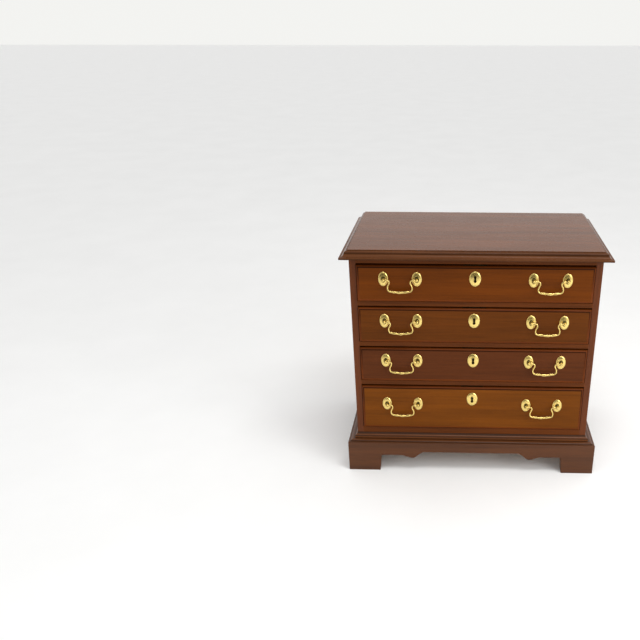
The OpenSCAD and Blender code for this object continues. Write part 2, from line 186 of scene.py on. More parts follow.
def round_arrises(obj, width, angle):
    """Rounds the edges that are sharper than an angle, so that they catch the light."""
    if width:
        bevel = obj.modifiers.new("arris", "BEVEL")
        bevel.width = width * MM
        bevel.segments = 2
        bevel.limit_method = "ANGLE"
        bevel.angle_limit = math.radians(angle)


def soften(obj, arris):
    """Rounds the arrises a little and smooths curved faces."""
    obj.data.shade_smooth()
    obj.data.set_sharp_from_angle(angle=math.radians(SMOOTH_ANGLE))
    round_arrises(obj, arris, SMOOTH_ANGLE)
    normals = obj.modifiers.new("normals", "WEIGHTED_NORMAL")
    normals.keep_sharp = True


def make_piece(name, shape, body, nodes, material, cuts=(), arris=0):
    """A finished piece that rides on a body and stands for CAD nodes."""
    obj = new_object(name, new_mesh(name, shape))
    for cut in cuts:
        carve(obj, cut)
    obj.data.materials.clear()
    obj.data.materials.append(material)
    soften(obj, arris)
    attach(obj, body)
    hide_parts(*nodes)
    return obj


def paint(obj, name, value_at):
    """Stores a value for each point, worked out from its place in millimetres."""
    attribute = obj.data.attributes.new(name, "FLOAT", "POINT")
    for vertex, item in zip(obj.data.vertices, attribute.data):
        item.value = value_at((vertex.co - CASE_ORIGIN) / MM)


def paint_rings(obj, count, values):
    """Stores the brass's darkening (patina and painted shade) for a shape made of rings of count points,
    with 0 past the listed rings.
    """
    attribute = obj.data.attributes.new("patina_and_shade", "FLOAT", "POINT")
    for k, item in enumerate(attribute.data):
        ring = k // count
        item.value = values[ring] if ring < len(values) else 0.0


def dress_node(node, material, arris=0.3):
    """Keeps a CAD node as it is, with a finished material and its arrises rounded."""
    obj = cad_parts[node]
    obj.data.materials.clear()
    obj.data.materials.append(material)
    round_arrises(obj, arris, BOARD_ANGLE)


# ---------------------------------------------------------------- materials


def add_node(tree, kind, inputs=None, **settings):
    """Adds a node, sets its properties, and feeds its inputs with values or other nodes' outputs."""
    made = tree.nodes.new(kind)
    for key, value in settings.items():
        setattr(made, key, value)
    for key, value in (inputs or {}).items():
        if isinstance(value, bpy.types.NodeSocket):
            tree.links.new(value, made.inputs[key])
        else:
            made.inputs[key].default_value = value
    return made


def new_material(name):
    """An empty material: its node tree and its surface shader."""
    material = bpy.data.materials.new(name)
    material.use_nodes = True
    tree = material.node_tree
    return material, tree, tree.nodes["Principled BSDF"]


def shade(colour, factor):
    """The colour made lighter or darker, as an opaque colour."""
    return tuple(min(1.0, channel * factor) for channel in colour[:3]) + (1.0,)


def ramp(tree, factor, stops):
    """Colour ramp from (position, colour) stops."""
    made = add_node(tree, "ShaderNodeValToRGB", {"Fac": factor})
    elements = made.color_ramp.elements
    while len(elements) < len(stops):
        elements.new(0.5)
    for element, (position, colour) in zip(elements, stops):
        element.position = position
        element.color = colour
    return made.outputs["Color"]


def grey_ramp(tree, factor, low, high, low_value=0.0, high_value=1.0):
    """Stretches a factor so that low and high become the two values, as a map range node."""
    made = add_node(tree, "ShaderNodeMapRange", {
        "Value": factor, "From Min": low, "From Max": high, "To Min": low_value, "To Max": high_value})
    return made.outputs["Result"]


def blend_value(tree, operation, a, b):
    return add_node(tree, "ShaderNodeMath", {0: a, 1: b}, operation=operation).outputs[0]


def blend_colour(tree, mode, factor, a, b):
    made = add_node(tree, "ShaderNodeMix", data_type="RGBA", blend_type=mode)
    for socket, value in (("Factor_Float", factor), ("A_Color", a), ("B_Color", b)):
        target = next(s for s in made.inputs if s.identifier == socket)
        if isinstance(value, bpy.types.NodeSocket):
            tree.links.new(value, target)
        else:
            target.default_value = value
    return next(s for s in made.outputs if s.identifier == "Result_Color")


def grain_space(tree, grain, seed):
    """Object coordinates turned so that x runs along the grain, at a place of its own in the log."""
    turns = {"x": (0, 0, 0), "y": (0, 0, -math.pi / 2), "z": (0, math.pi / 2, 0)}
    place = (seed * 1.37, 0.11 + 0.043 * (seed % 7), 0.16 + 0.031 * (seed % 5))
    coords = add_node(tree, "ShaderNodeTexCoord").outputs["Object"]
    return add_node(tree, "ShaderNodeMapping", {
        "Vector": coords, "Rotation": turns[grain], "Location": place}).outputs["Vector"]


def stretched(tree, vector, along):
    """The same coordinates with detail drawn out along the grain."""
    return add_node(tree, "ShaderNodeVectorMath", {0: vector, 1: (along, 1, 1)},
                    operation="MULTIPLY").outputs["Vector"]


def noise(tree, vector, scale, detail, roughness):
    return add_node(tree, "ShaderNodeTexNoise", {
        "Vector": vector, "Scale": scale, "Detail": detail, "Roughness": roughness}).outputs["Fac"]


def edge_wear(tree):
    """How close a point is to a sharp edge, from 0 to 1."""
    rounded = add_node(tree, "ShaderNodeBevel", {"Radius": 0.9 * MM}, samples=4).outputs["Normal"]
    normal = add_node(tree, "ShaderNodeNewGeometry").outputs["Normal"]
    alike = add_node(tree, "ShaderNodeVectorMath", {0: rounded, 1: normal},
                     operation="DOT_PRODUCT").outputs["Value"]
    return grey_ramp(tree, alike, 0.99, 0.8)


# Layers of the wood's figure: squeeze along the grain, the noise's scale, detail and roughness, share
FIGURE_LAYERS = {
    "broad": (0.05, 46.0, 3.0, 0.5, 0.34),
    "streaks": (0.03, 210.0, 4.0, 0.6, 0.30),
    "fibres": (0.03, 900.0, 3.0, 0.6, 0.20),
    "ribbon": (0.35, 14.0, 2.0, 0.5, 0.16),
}


def wood(name, colour, grain, seed, gloss, rough=0.34, contrast=1.0, rim=None):
    """Straight-grained wood: broad and fine streaks, pores and slow colour changes, under polish.

    A piece can store two values: "rim" shows the rim colour, a darker colour painted as shade, and
    the other darkens the wood as painted shade in quirks (or lightens it, below 0, as painted
    highlight).
    """
    material, tree, shader = new_material(name)
    log = grain_space(tree, grain, seed)
    layers = {}
    tone = 0.0
    for layer, (stretch, scale, detail, roughness, share) in FIGURE_LAYERS.items():
        layers[layer] = noise(tree, stretched(tree, log, stretch), scale, detail, roughness)
        tone = blend_value(tree, "ADD", tone, blend_value(tree, "MULTIPLY", layers[layer], share))
    pores = grey_ramp(tree, noise(tree, stretched(tree, log, 0.04), 1900.0, 2.0, 0.5), 0.60, 0.72)
    stops = [(0.38, 1 - 0.34 * contrast), (0.47, 1 - 0.09 * contrast),
             (0.54, 1 + 0.09 * contrast), (0.64, 1 + 0.34 * contrast)]
    figure = ramp(tree, tone, [(position, shade(colour, factor)) for position, factor in stops])
    # The rim colour is a darker, redder colour painted as shade on moulded edges
    if rim:
        at_rim = add_node(tree, "ShaderNodeAttribute", attribute_name="rim").outputs["Fac"]
        rim_figure = ramp(tree, tone, [(position, shade(rim, factor)) for position, factor in stops])
        figure = blend_colour(tree, "MIX", at_rim, figure, rim_figure)
    # Painted shade and painted highlight: a stored value darkens the wood's colour as shade or, below 0,
    # lightens it as highlight
    painted_light = add_node(tree, "ShaderNodeAttribute", attribute_name="painted_light").outputs["Fac"]
    figure = blend_colour(tree, "MULTIPLY", 1.0, figure, grey_ramp(tree, painted_light, -1.0, 1.0, 1.75, 0.25))
    pored = blend_colour(tree, "MULTIPLY", blend_value(tree, "MULTIPLY", pores, 0.45 * contrast),
                         figure, (0.40, 0.30, 0.25, 1.0))
    wear = edge_wear(tree)
    worn = blend_colour(tree, "ADD", blend_value(tree, "MULTIPLY", wear, 0.22), pored,
                        shade(colour, 1.0))
    tree.links.new(worn, shader.inputs["Base Color"])
    smears = noise(tree, log, 22.0, 3.0, 0.6)
    base_rough = grey_ramp(tree, smears, 0.3, 0.7, rough - 0.015, rough + 0.02)
    worn_rough = blend_value(tree, "ADD", base_rough, blend_value(tree, "MULTIPLY", wear, 0.08))
    tree.links.new(blend_value(tree, "ADD", worn_rough, blend_value(tree, "MULTIPLY", pores, 0.05)),
                   shader.inputs["Roughness"])
    relief = blend_value(tree, "SUBTRACT", blend_value(tree, "MULTIPLY", layers["fibres"], 0.3), pores)
    bump = add_node(tree, "ShaderNodeBump", {"Height": relief, "Strength": 0.06, "Distance": 0.1 * MM})
    tree.links.new(bump.outputs["Normal"], shader.inputs["Normal"])
    shader.inputs["Specular IOR Level"].default_value = gloss
    return material


def metal(name, bright, deep, rough):
    """Cast or pressed metal, darker where its stored value is high: patina in its hollows and painted
    shade in its gaps and holes.
    """
    material, tree, shader = new_material(name)
    coords = add_node(tree, "ShaderNodeTexCoord").outputs["Object"]
    patina_and_shade = add_node(tree, "ShaderNodeAttribute", attribute_name="patina_and_shade").outputs["Fac"]
    mottle = noise(tree, coords, 420.0, 4.0, 0.6)
    drift = noise(tree, coords, 60.0, 2.0, 0.5)
    dark = blend_value(tree, "ADD", patina_and_shade, grey_ramp(tree, mottle, 0.35, 0.75, -0.12, 0.28))
    tinted = blend_colour(tree, "MIX", grey_ramp(tree, drift, 0.35, 0.65, 0.0, 0.35), bright,
                          shade(bright, 0.86))
    clean = add_node(tree, "ShaderNodeClamp", {"Value": dark}).outputs["Result"]
    tree.links.new(blend_colour(tree, "MIX", clean, tinted, deep), shader.inputs["Base Color"])
    tree.links.new(blend_value(tree, "ADD", grey_ramp(tree, mottle, 0.3, 0.7, rough, rough + 0.1),
                               blend_value(tree, "MULTIPLY", clean, 0.18)),
                   shader.inputs["Roughness"])
    bump = add_node(tree, "ShaderNodeBump", {"Height": mottle, "Strength": 0.12, "Distance": 0.15 * MM})
    tree.links.new(bump.outputs["Normal"], shader.inputs["Normal"])
    shader.inputs["Metallic"].default_value = 1.0
    return material


def paper(name, colour):
    """Pale seamless floor with faint scuffs."""
    material, tree, shader = new_material(name)
    coords = add_node(tree, "ShaderNodeTexCoord").outputs["Object"]
    scuffs = noise(tree, coords, 3.5, 5.0, 0.6)
    tree.links.new(ramp(tree, scuffs, [(0.3, shade(colour, 0.97)), (0.7, shade(colour, 1.0))]),
                   shader.inputs["Base Color"])
    shader.inputs["Roughness"].default_value = 0.7
    shader.inputs["Specular IOR Level"].default_value = 0.2
    return material


# The top's rim colour is painted shade on its moulded edge
TOP_WOOD = wood("top_mahogany", (0.117, 0.034, 0.006), "x", 3, gloss=0.105, rough=0.27, contrast=0.9,
                rim=(0.082, 0.028, 0.009))
CASE_WOOD = {
    "x": wood("case_mahogany_x", (0.106, 0.0255, 0.002), "x", 11, gloss=0.12, rough=0.4),
    "z": wood("case_mahogany_z", (0.108, 0.026, 0.004), "z", 17, gloss=0.2, rough=0.4),
}
BASE_WOOD = {
    grain: wood(f"base_mahogany_{grain}", (0.082, 0.0255, 0.006), grain, seed, gloss=0.28)
    for grain, seed in (("x", 21), ("y", 24))
}
# Darker, redder colour painted as shade on the drawers' moulded rims
RIM_SHADE_COLOUR = (0.092, 0.020, 0.002)
DRAWER_COLOURS = [
    (0.112, 0.026, 0.001), (0.099, 0.026, 0.002), (0.084, 0.022, 0.005), (0.138, 0.038, 0.002)]
DRAWER_WOOD = [
    wood(f"drawer_mahogany_{k + 1}", colour, "x", 31 + 3 * k, gloss=0.08, rough=0.38, contrast=0.8,
         rim=RIM_SHADE_COLOUR)
    for k, colour in enumerate(DRAWER_COLOURS)
]
LINING_WOOD = {
    grain: wood(f"lining_oak_{grain}", (0.46, 0.29, 0.145), grain, seed, gloss=0.2, rough=0.6,
                contrast=0.6)
    for grain, seed in (("x", 51), ("y", 54))
}
PINE_WOOD = {
    grain: wood(f"pine_{grain}", (0.42, 0.25, 0.12), grain, seed, gloss=0.2, rough=0.7, contrast=0.7)
    for grain, seed in (("x", 61), ("y", 64), ("z", 67))
}
BRASS = metal("polished_brass", (0.93, 0.70, 0.23, 1.0), (0.035, 0.022, 0.004, 1.0), 0.2)
NUT_BRASS = metal("dull_brass", (0.62, 0.46, 0.22, 1.0), (0.20, 0.15, 0.07, 1.0), 0.34)
# The locks' brass is nearly black, as painted shade behind the keyholes
LOCK_BRASS = metal("lock_brass_dark_as_shade", (0.13, 0.09, 0.045, 1.0), (0.05, 0.034, 0.016, 1.0), 0.42)

# ---------------------------------------------------------------- top

# Edge of the top: where its flat face ends, then the fillet, the ovolo, the band of painted shade
# past it, the height of its waist and the lip
TOP_STEP = 2.0
TOP_FILLET = 1.7
TOP_OVOLO_OUT = 9.0
TOP_SHADE_BAND = 0.4
TOP_WAIST = 12.2
TOP_LIP = 4.4


def top_edge():
    """Section of the top's moulded edge: (distance out from the case, height over its underside)."""
    points = [(TOP_STEP, TOP_T)]
    points += arc((TOP_STEP, TOP_WAIST), TOP_OVOLO_OUT - TOP_STEP, TOP_T - TOP_FILLET - TOP_WAIST, 90, 0)
    points += arc((TOP_OUT, TOP_WAIST), TOP_OUT - TOP_OVOLO_OUT, TOP_WAIST - TOP_LIP, 180, 270)[1:]
    points.append((TOP_OUT, 0))
    return points


def outwards(point):
    """Distance out from the nearest of the case's front and sides."""
    return max(-point.y, abs(point.x) - HALF_W)


def top_painted_light(point):
    """Painted shade in the quirks of the top's edge and under it, painted highlight on its ovolo and
    lip.
    """
    out, height = outwards(point), point.z - TOP_LOW.z
    if height > TOP_T - NEAR:
        return 0.0
    if height < NEAR:
        return 0.5
    if out < TOP_OVOLO_OUT + TOP_SHADE_BAND:
        across = min(1.0, (out - TOP_STEP) / (TOP_OVOLO_OUT - TOP_STEP))
        return abs(2 * across - 1) - 0.45
    return -0.3


def make_top():
    """The top, with its moulded edge along the front and both sides."""
    rings = []
    for out, height in top_edge():
        side, z = HALF_W + out, TOP_LOW.z + height
        rings.append([(-side, CASE_D, z), (-side, -out, z), (side, -out, z), (side, CASE_D, z)])
    top = make_piece("top", loft(rings), "case", ["top_panel"], TOP_WOOD, arris=0.35)
    # Painted shade: every face but the flat top gets the darker rim colour
    paint(top, "rim", lambda p: 0.0 if p.z > TOP_HIGH.z - NEAR else 1.0)
    # Painted shade and painted highlight along the top's moulded edge
    paint(top, "painted_light", top_painted_light)


# ---------------------------------------------------------------- base

# Base moulding: a lip and a cove at the top, a fillet with a band of painted highlight, and an ovolo at
# the foot
COVE_LIP = 1.2
COVE_OUT = 7.0
COVE_TOP = 17.0
COVE_Z = 11.2
OVOLO_IN = 9.0
OVOLO_OUT = 17.5
OVOLO_Z = 4.3
OVOLO_FOOT = 0.8
FILLET_POINTS = (COVE_Z - 0.6, 9.0, 8.0, 5.8, 5.0, OVOLO_Z)
HIGHLIGHT_BAND = (5.5, 8.5)
# Bracket base: its arris and mitres, its feet and the gap between them, and how far from a foot the
# apron's pendant starts, hangs lowest and ends
ARRIS_R = 2.0
MITRE_GAP = 0.1
FRONT_FOOT_W = 82.0
SIDE_FOOT_W = 81.0
FOOT_TAPER = 3.5
BRACKET_H = 45.0
BRACKET_R = 5.0
APRON_DROP = 37.5
APRON_RISE = 55.0
FRONT_PENDANT = (49.0, 80.0, 108.0)
SIDE_PENDANT = (12.0, 40.0, 66.0)


def base_edge():
    """Section of the base moulding: (distance out from the case, height over the plinth)."""
    points = [(0, 0), (0, MOULDING_H), (COVE_LIP, MOULDING_H)]
    points += arc((COVE_OUT, COVE_TOP), COVE_OUT - COVE_LIP, COVE_TOP - COVE_Z, 180, 270)
    points += [(COVE_OUT, height) for height in FILLET_POINTS]
    points += arc((OVOLO_IN, OVOLO_FOOT), OVOLO_OUT - OVOLO_IN, OVOLO_Z - OVOLO_FOOT, 90, 0)
    points.append((OVOLO_OUT, 0))
    return points


def base_painted_light(point):
    """Painted shade at the top and foot of the cove, on the fillet and at the ends of the ovolo; painted
    highlight on a band of the fillet and the middle of the ovolo.
    """
    out, height = outwards(point), point.z - PLINTH_H
    if height > COVE_Z - NEAR:
        across = (out - COVE_LIP) / (COVE_OUT - COVE_LIP)
        return max(0.7 - 3 * across, 2.4 * across - 2.0)
    if out < COVE_OUT + NEAR:
        return -0.9 if HIGHLIGHT_BAND[0] < height < HIGHLIGHT_BAND[1] else 0.6
    across = max(0.0, (out - OVOLO_IN) / (OVOLO_OUT - OVOLO_IN))
    return 1.1 * abs(2 * across - 1) - 0.55


def plinth_section():
    """Section of the bracket base: (distance out from the case, height)."""
    rounded = arc((BASE_OUT - ARRIS_R, PLINTH_H - ARRIS_R), ARRIS_R, ARRIS_R, 90, 0, 6)
    return [(0, 0), (0, PLINTH_H)] + rounded + [(BASE_OUT, 0)]


def front_strip(section, base_z):
    """The section run along the front of the case, mitred at both corners."""
    ends = []
    for sign in (-1, 1):
        ends.append([(sign * (HALF_W - MITRE_GAP + out), -out, base_z + z) for out, z in section])
    return loft(ends)


def side_strip(section, base_z):
    """The section run along the right side of the case, mitred at its front end."""
    front = [(HALF_W + out, -out, base_z + z) for out, z in section]
    rear = [(HALF_W + out, CASE_D, base_z + z) for out, z in section]
    return loft([front, rear])


def scallop(start, end, steps=10):
    """Points on a smooth S-shaped curve between two points."""
    run, rise = end[0] - start[0], end[1] - start[1]
    shares = [i / steps for i in range(steps + 1)]
    return [(start[0] + run * t, start[1] + rise * ease(t)) for t in shares]


def apron_outline(half, pendant):
    """Gap under an apron between two feet, as (place, height) points round its outline."""
    level_end, drop_end, rise_end = pendant
    points = [(-FOOT_TAPER, -PAST)]
    points += arc((BRACKET_R, BRACKET_H - BRACKET_R), BRACKET_R, BRACKET_R, 180, 90, 5)
    points += scallop((level_end, BRACKET_H), (drop_end, APRON_DROP))
    points += scallop((drop_end, APRON_DROP), (rise_end, APRON_RISE))[1:]
    left = [(place - half, height) for place, height in points]
    return left + [(-place, height) for place, height in reversed(left)]


def make_front_base():
    """Front of the bracket base and the moulding on it."""
    outline = apron_outline(HALF_W + BASE_OUT - FRONT_FOOT_W, FRONT_PENDANT)
    gap = loft([[(x, y, z) for x, z in outline] for y in (-BASE_OUT - PAST, PAST)])
    make_piece("plinth_front", front_strip(plinth_section(), 0), "case", ["front_plinth"],
               BASE_WOOD["x"], cuts=[gap], arris=0.5)
    front = make_piece("base_moulding_front", front_strip(base_edge(), PLINTH_H), "case",
                       ["base_mouldings"], BASE_WOOD["x"])
    # Painted shade and painted highlight along the moulding's lines
    paint(front, "painted_light", base_painted_light)


def make_side_bases():
    """Both sides of the bracket base and the mouldings on them."""
    middle_y = (CASE_D - BASE_OUT) / 2
    outline = apron_outline((CASE_D + BASE_OUT) / 2 - SIDE_FOOT_W, SIDE_PENDANT)
    gap = loft([[(x, middle_y + place, z) for place, z in outline]
                for x in (HALF_W - PAST, HALF_W + BASE_OUT + PAST)])
    plinth = side_strip(plinth_section(), 0)
    moulding = side_strip(base_edge(), PLINTH_H)
    for side, turn in (("left", mirrored), ("right", lambda shape: shape)):
        make_piece(f"plinth_{side}", turn(plinth), "case", [f"{side}_plinth"],
                   BASE_WOOD["y"], cuts=[turn(gap)], arris=0.5)
        strip = make_piece(f"base_moulding_{side}", turn(moulding), "case", ["base_mouldings"],
                           BASE_WOOD["y"])
        # Painted shade and painted highlight along the moulding's lines
        paint(strip, "painted_light", base_painted_light)


# ---------------------------------------------------------------- drawers

# Drawer front: the ovolo round its face, how far the face stands out, its dovetails and its keyhole
OVOLO_W = 6.0
FACE_OUT = 5.0
DRAWER_SIDE_T = 10.0
TAIL_LEN = 8.0
TAIL_PITCH = 27.0
TAIL_WIDE = 17.0
TAIL_NARROW = 12.0
KEY_R = 2.7
KEY_LOBE = 5.0
KEY_SLOT = 2.6
# Half width round the keyhole inside which the wood is darkened as painted shade
KEY_SHADE_HALF_W = 6.0


def front_panel(low, high):
    """A drawer front with a raised face and an ovolo round it."""
    ovolo = [(OVOLO_W - out, height) for out, height in arc((0, 0), OVOLO_W, FACE_OUT, 0, 90)]
    rings = []
    for inset, out in [(0, -high.y)] + ovolo:
        x, bottom, top = high.x - inset, low.z + inset, high.z - inset
        rings.append([(-x, -out, bottom), (x, -out, bottom), (x, -out, top), (-x, -out, top)])
    return loft(rings)


def dovetail_sockets(n):
    """What the dovetails of the drawer's sides take out of its front."""
    low, high = node_box(drawer_node(n, "sides"))
    back_y = node_box(drawer_node(n, "front"))[1].y
    height = high.z - low.z
    count = int(height // TAIL_PITCH)
    first = low.z + (height - (count - 1) * TAIL_PITCH) / 2
    inner_x = high.x - DRAWER_SIDE_T
    sockets = []
    for i in range(count):
        z = first + i * TAIL_PITCH
        wide_y, narrow_y = back_y - TAIL_LEN, back_y + JUST_PAST
        plan = [(wide_y, z - TAIL_WIDE / 2), (narrow_y, z - TAIL_NARROW / 2),
                (narrow_y, z + TAIL_NARROW / 2), (wide_y, z + TAIL_WIDE / 2)]
        socket = loft([[(x, y, z) for y, z in plan] for x in (inner_x, high.x + JUST_PAST)])
        sockets += [socket, mirrored(socket)]
    return sockets


def keyhole_outline(key_z):
    """Two round lobes joined by a slot, as (x, z) points round the outline."""
    waist = math.degrees(math.asin(KEY_SLOT / 2 / KEY_R))
    upper = arc((0, KEY_LOBE), KEY_R, KEY_R, waist - 90, 270 - waist, 19)
    lower = arc((0, -KEY_LOBE), KEY_R, KEY_R, 90 + waist, 450 - waist, 19)
    return [(x, z + key_z) for x, z in upper + lower]


def lock_recess(n):
    """Recess for a drawer's lock, open at the back and the top of the drawer's front."""
    low, high = node_box(drawer_node(n, "lock"))
    back_y = node_box(drawer_node(n, "front"))[1].y
    return block((low.x, low.y, low.z), (high.x, back_y + JUST_PAST, high.z + PAST))


def board_groove(n):
    """Groove at the back of a drawer front that takes the bottom board."""
    low, high = node_box(drawer_node(n, "bottom"))
    back_y = node_box(drawer_node(n, "front"))[1].y
    return block((low.x, low.y, low.z), (high.x, back_y + JUST_PAST, high.z))


def rim_painted_light(point, high):
    """Painted shade where the top ovolo meets the face and inside the keyhole, a little along the
    bottom, and painted highlight down the sides.
    """
    out = -point.y
    if out > FACE_OUT - NEAR:
        return 0.0
    if abs(point.x) < KEY_SHADE_HALF_W and point.z < high.z - OVOLO_W:
        return 1.0
    if out < NEAR:
        return 0.0
    if point.z > high.z - OVOLO_W:
        return 0.95 if out > FACE_OUT * 0.88 else -0.1
    return -0.6 if abs(point.x) > high.x - OVOLO_W else 0.1


def make_drawer(n):
    """A drawer's front with its cuts, its lining boards, its lock and its keyhole plate."""
    low, high = node_box(drawer_node(n, "front"))
    key_low, key_high = node_box(drawer_node(n, "escutcheon"))
    key_z = (key_low.z + key_high.z) / 2
    keyhole = loft([[(x, y, z) for x, z in keyhole_outline(key_z)]
                    for y in (-FACE_OUT - JUST_PAST, high.y)])
    front = make_piece(f"drawer_front_{n}", front_panel(low, high), drawer_body(n),
                       [drawer_node(n, "front")], DRAWER_WOOD[n - 1],
                       cuts=dovetail_sockets(n) + [lock_recess(n), board_groove(n), keyhole], arris=0.35)
    # Painted shade: every face but the raised face gets the darker rim colour
    paint(front, "rim", lambda p: 0.0 if p.y < NEAR - FACE_OUT else 1.0)
    # Painted shade in the top quirk and the keyhole, painted highlight down the sides of the ovolo
    paint(front, "painted_light", lambda p: rim_painted_light(p, high))
    for part, grain in (("sides", "y"), ("back", "x"), ("bottom", "x")):
        dress_node(drawer_node(n, part), LINING_WOOD[grain])
    dress_node(drawer_node(n, "lock"), LOCK_BRASS, arris=0)
    dress_node(drawer_node(n, "lock_bolt"), NUT_BRASS, arris=0.2)
    make_escutcheon(n, key_z)


# ---------------------------------------------------------------- brass

# Keyhole plate: its pins, the heights of its bevelled rim, and its rings as shares of its size
PLATE_PIN_Z = 13.8
PLATE_PIN_R = 0.9
PLATE_PIN_H = 2.8
PLATE_RIM = 0.86
PLATE_RIM_H = 2.2
PLATE_EDGE_H = 0.6
PLATE_RINGS = (0.5, 0.6, 0.7, 0.78, 0.84, PLATE_RIM, 0.89, 0.93, 0.97, 0.99, 1.0)
PIN_SIDES = 14
# Rings between the keyhole and the plate, how much wider the hole is behind, and how dark its rings are
# painted, as shade inside the hole
HOLE_BLENDS = (0.12, 0.22, 0.6)
HOLE_UNDERCUT = (1.5, 1.12)
HOLE_SHADE = [1.0, 1.0, 1.0, 1.0, 1.0, 0.35]


def oval(width, height, share, count):
    """Points on an oval that is a share of a plate's size."""
    turns = [2 * math.pi * (k + 0.5) / count for k in range(count)]
    return [(width / 2 * share * math.cos(a), height / 2 * share * math.sin(a)) for a in turns]


def plate_height(share, top):
    """Height of a domed plate with a bevelled rim, from its middle (0) to its edge (1)."""
    if share > PLATE_RIM:
        across = (share - PLATE_RIM) / (1 - PLATE_RIM)
        return PLATE_RIM_H - (PLATE_RIM_H - PLATE_EDGE_H) * across ** 1.25
    return top - (top - PLATE_RIM_H) * (share / PLATE_RIM) ** 2.6


def escutcheon_shape(size, key_z):
    """Domed plate round a keyhole, and how many points each of its rings has."""
    width, top, height = size
    hole = [(x, z - key_z) for x, z in keyhole_outline(key_z)]
    count = len(hole)
    undercut = [(x * HOLE_UNDERCUT[0], z * HOLE_UNDERCUT[1]) for x, z in hole]
    rings = [(undercut, 0.0), (undercut, top - 1.1), (hole, top - 0.6), (hole, top)]
    middle = oval(width, height, PLATE_RINGS[0], count)
    for t in HOLE_BLENDS:
        blend = [(h[0] + (m[0] - h[0]) * t, h[1] + (m[1] - h[1]) * t) for h, m in zip(hole, middle)]
        rings.append((blend, top - 0.12 * t))
    for share in PLATE_RINGS:
        rings.append((oval(width, height, share, count), plate_height(share, top)))
    rings.append((oval(width, height, 1.0, count), 0.0))
    points = [[(x, -FACE_OUT - rise, key_z + z) for x, z in ring] for ring, rise in rings]
    points.append(points[0])
    flat, faces = loft(points, capped=False)
    last = (len(points) - 1) * count
    welded = [tuple(k - last if k >= last else k for k in face) for face in faces]
    return (flat[:last], welded), count


def make_escutcheon(n, key_z):
    """Domed oval keyhole plate and the two pins that hold it."""
    low, high = node_box(drawer_node(n, "escutcheon"))
    shape, count = escutcheon_shape(high - low, key_z)
    plate = make_piece(f"keyhole_plate_{n}", shape, drawer_body(n), [drawer_node(n, "escutcheon")],
                       BRASS)
    # Painted shade on the walls of the keyhole
    paint_rings(plate, count, HOLE_SHADE)
    head = [(PLATE_PIN_R, 0.5), (PLATE_PIN_R, PLATE_PIN_H - 0.45),
            (PLATE_PIN_R * 0.75, PLATE_PIN_H - 0.15), (PLATE_PIN_R * 0.3, PLATE_PIN_H)]
    places = [(0, -FACE_OUT, key_z + z) for z in (-PLATE_PIN_Z, PLATE_PIN_Z)]
    pins = merged([lathe(head, place, PIN_SIDES) for place in places])
    heads = make_piece(f"keyhole_pins_{n}", pins, drawer_body(n), [drawer_node(n, "escutcheon")],
                       BRASS)
    # The pin heads' brass is darkened all over
    paint(heads, "patina_and_shade", lambda p: 0.75)


ROSETTE_SIZE = (23.0, 34.0)
ROSETTE_SIDES = 40
# Share of the oval, height, and how dark the brass is painted there (patina and painted shade in the rim
# and quirk, painted shade round the seat of the post): rim, quirk, dome and the seat of the post
ROSETTE_PROFILE = [
    (1.0, 0.0, 0.3), (1.0, 0.5, 0.1), (0.985, 0.8, 0), (0.955, 1.22, 0), (0.92, 1.62, 0),
    (0.885, 1.94, 0), (0.855, 2.12, 0), (0.83, 2.14, 0.1), (0.81, 2.06, 0.35), (0.79, 2.16, 0.1),
    (0.70, 2.48, 0), (0.60, 2.74, 0), (0.50, 2.92, 0.1), (0.43, 3.02, 0.5), (0.40, 2.92, 0.9),
    (0.37, 3.0, 0.9), (0.33, 3.16, 0.85), (0.28, 3.2, 0.85)]


def make_rosettes(n, centres):
    """Oval rosettes of a drawer's pulls, one round each post."""
    shapes = []
    for x, z in centres:
        rings = []
        for share, rise, _ in ROSETTE_PROFILE:
            ring = oval(*ROSETTE_SIZE, share, ROSETTE_SIDES)
            rings.append([(x + px, -FACE_OUT - rise, z + pz) for px, pz in ring])
        shapes.append(loft(rings))
    obj = make_piece(f"rosettes_{n}", merged(shapes), drawer_body(n), [drawer_node(n, "rosettes")],
                     BRASS)
    # Patina and painted shade in the rim and quirk, and painted shade round the seat of the post
    paint_rings(obj, ROSETTE_SIDES, [dark for _, _, dark in ROSETTE_PROFILE] * len(centres))


# Radius of the post and distance out from the case front, from the nut to the tip of its head
POST_PROFILE = [
    (2.0, -18.0), (2.0, 8.1), (4.0, 8.1), (4.0, 8.5), (3.5, 8.9), (3.0, 9.6), (3.0, 10.3), (3.3, 11.2),
    (3.55, 12.4), (3.6, 13.8), (3.6, 15.6), (3.45, 16.8), (3.0, 17.7), (2.2, 18.3), (1.2, 18.55),
    (0.4, 18.6)]
POST_HEAD_OUT = 12.0
POST_SIDES = 24
NUT_PROFILE = [(4.3, 0.0), (4.6, 0.3), (4.6, 2.7), (4.3, 3.0)]
NUT_SIDES = 6


def make_posts(n, centres, back_y):
    """Turned posts through the drawer front, and the hexagonal nuts behind it."""
    posts = [lathe(POST_PROFILE, (x, 0, z), POST_SIDES) for x, z in centres]
    obj = make_piece(f"posts_{n}", merged(posts), drawer_body(n), [drawer_node(n, "posts")],
                     BRASS)
    # Painted shade: the stem behind the head is dark, as the shadowed gap under the post's head; the
    # head is a little darker too
    paint(obj, "patina_and_shade", lambda p: 0.85 if p.y > -POST_HEAD_OUT else 0.15)
    nut = [(radius, -back_y - height) for radius, height in NUT_PROFILE]
    nuts = [lathe(nut, (x, 0, z), NUT_SIDES) for x, z in centres]
    make_piece(f"post_nuts_{n}", merged(nuts), drawer_body(n), [drawer_node(n, "posts")],
               NUT_BRASS)


